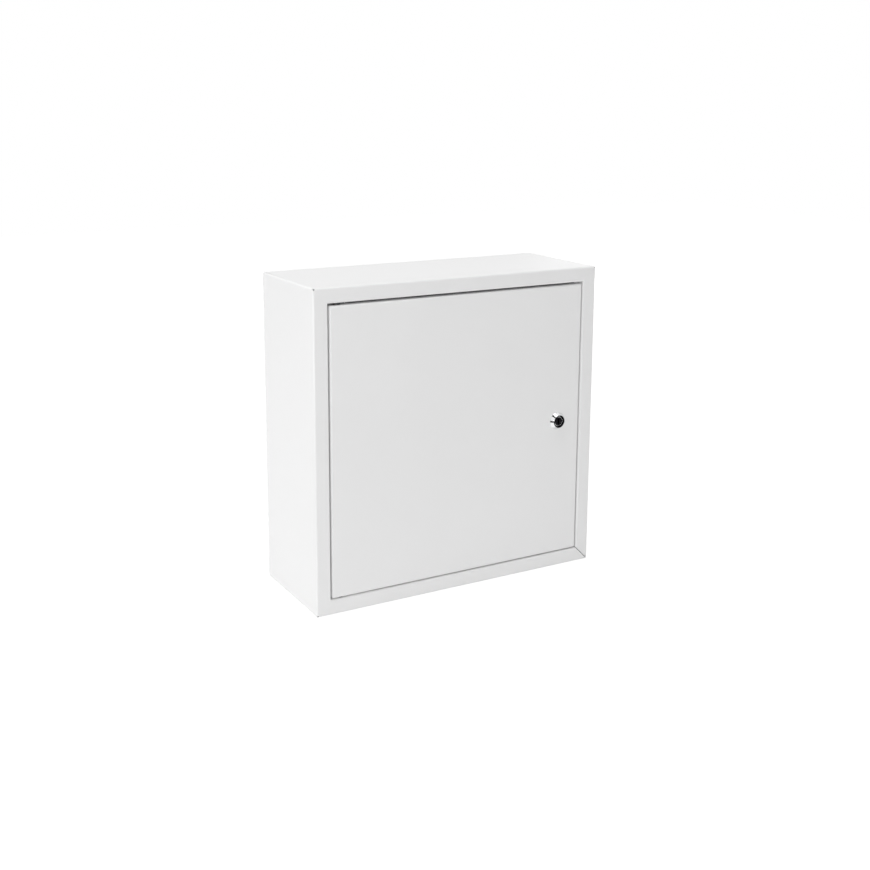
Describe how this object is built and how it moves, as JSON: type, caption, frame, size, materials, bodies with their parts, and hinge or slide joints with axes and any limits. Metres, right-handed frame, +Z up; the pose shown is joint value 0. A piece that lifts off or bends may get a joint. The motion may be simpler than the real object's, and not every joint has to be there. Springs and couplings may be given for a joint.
{
  "type": "steel wall enclosure",
  "caption": "Shallow wall-mounted sheet-steel enclosure with a flush side-hinged door, cam lock, mounting plate and covered cable entry.",
  "frame": {"origin": "centre of the wall fixings, on the back of the case", "axes": "+X to the right seen from the front, +Y towards the wall, +Z up"},
  "size_m": [0.4, 0.155, 0.4],
  "materials": {
    "powder_coat": "satin white powder coat",
    "zinc_plate": "bright zinc plate",
    "chrome_plate": "polished chrome plate",
    "brass": "turned brass",
    "nylon": "natural nylon",
    "foam": "closed-cell foam"
  },
  "bodies": {
    "case": {"body_wrap": "powder_coat", "back_panel": "powder_coat", "door_seal": "foam", "hinge_bracket_top": "zinc_plate", "hinge_bracket_bottom": "zinc_plate", "hinge_pin_top": "zinc_plate", "hinge_pin_bottom": "zinc_plate", "hinge_washer_top": "nylon", "hinge_washer_bottom": "nylon", "plate_studs": "zinc_plate", "plate_spacers": "zinc_plate", "mounting_plate": "zinc_plate", "plate_washers": "zinc_plate", "plate_nuts": "zinc_plate", "entry_seal": "foam", "entry_cover": "powder_coat", "entry_studs": "zinc_plate", "entry_washers": "zinc_plate", "entry_nuts": "zinc_plate", "case_earth_stud": "brass", "case_earth_washer": "zinc_plate", "case_earth_nut": "zinc_plate"},
    "door": {"door_panel": "powder_coat", "hinge_bush_top": "brass", "hinge_bush_bottom": "brass", "door_earth_stud": "brass", "door_earth_washer": "zinc_plate", "door_earth_nut": "zinc_plate", "lock_body": "chrome_plate", "lock_washer": "zinc_plate", "lock_nut": "zinc_plate"},
    "lock_rotor": {"lock_plug": "chrome_plate", "lock_cam": "zinc_plate", "cam_washer": "zinc_plate", "cam_screw": "zinc_plate"}
  },
  "joints": [
    {"name": "door_swing", "type": "hinge", "parent": "case", "child": "door", "pos_m": [-0.167, -0.1425, 0], "axis": [0, 0, -1], "range_deg": [0, 120]},
    {"name": "lock_turn", "type": "hinge", "parent": "door", "child": "lock_rotor", "pos_m": [0.145, -0.15, 0], "axis": [0, 1, 0], "range_deg": [0, 90]}
  ]
}
